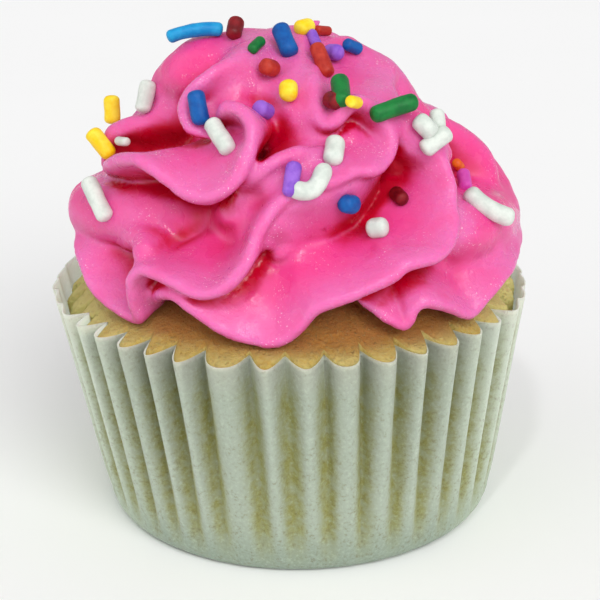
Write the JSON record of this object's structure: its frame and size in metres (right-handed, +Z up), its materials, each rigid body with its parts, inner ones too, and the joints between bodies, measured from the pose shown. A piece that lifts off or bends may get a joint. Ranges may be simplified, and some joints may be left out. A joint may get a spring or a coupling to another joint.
{
  "type": "cupcake",
  "caption": "Cupcake in a pale fluted paper case, golden sponge with a domed top, and a deep ruffled swirl of pink piped frosting with mixed sugar sprinkles.",
  "frame": {"origin": "middle of the flat base, on the surface that the cupcake stands on", "axes": "+Z up, -Y towards the front of the swirl, +X to the right seen from the front"},
  "size_m": [0.068, 0.0681, 0.0715],
  "materials": {
    "paper": "matte greaseproof baking paper, pale grey green where dry, olive where grease has soaked in",
    "sponge": "matte golden crumb with fine pores",
    "frosting": "soft satin pink buttercream, crimson in the folds and lilac along the thin crests",
    "sprinkles": "satin sugar strands in several colours"
  },
  "bodies": {
    "root": {"paper_case": "paper", "cake": "sponge", "frosting": "frosting"}
  },
  "joints": []
}
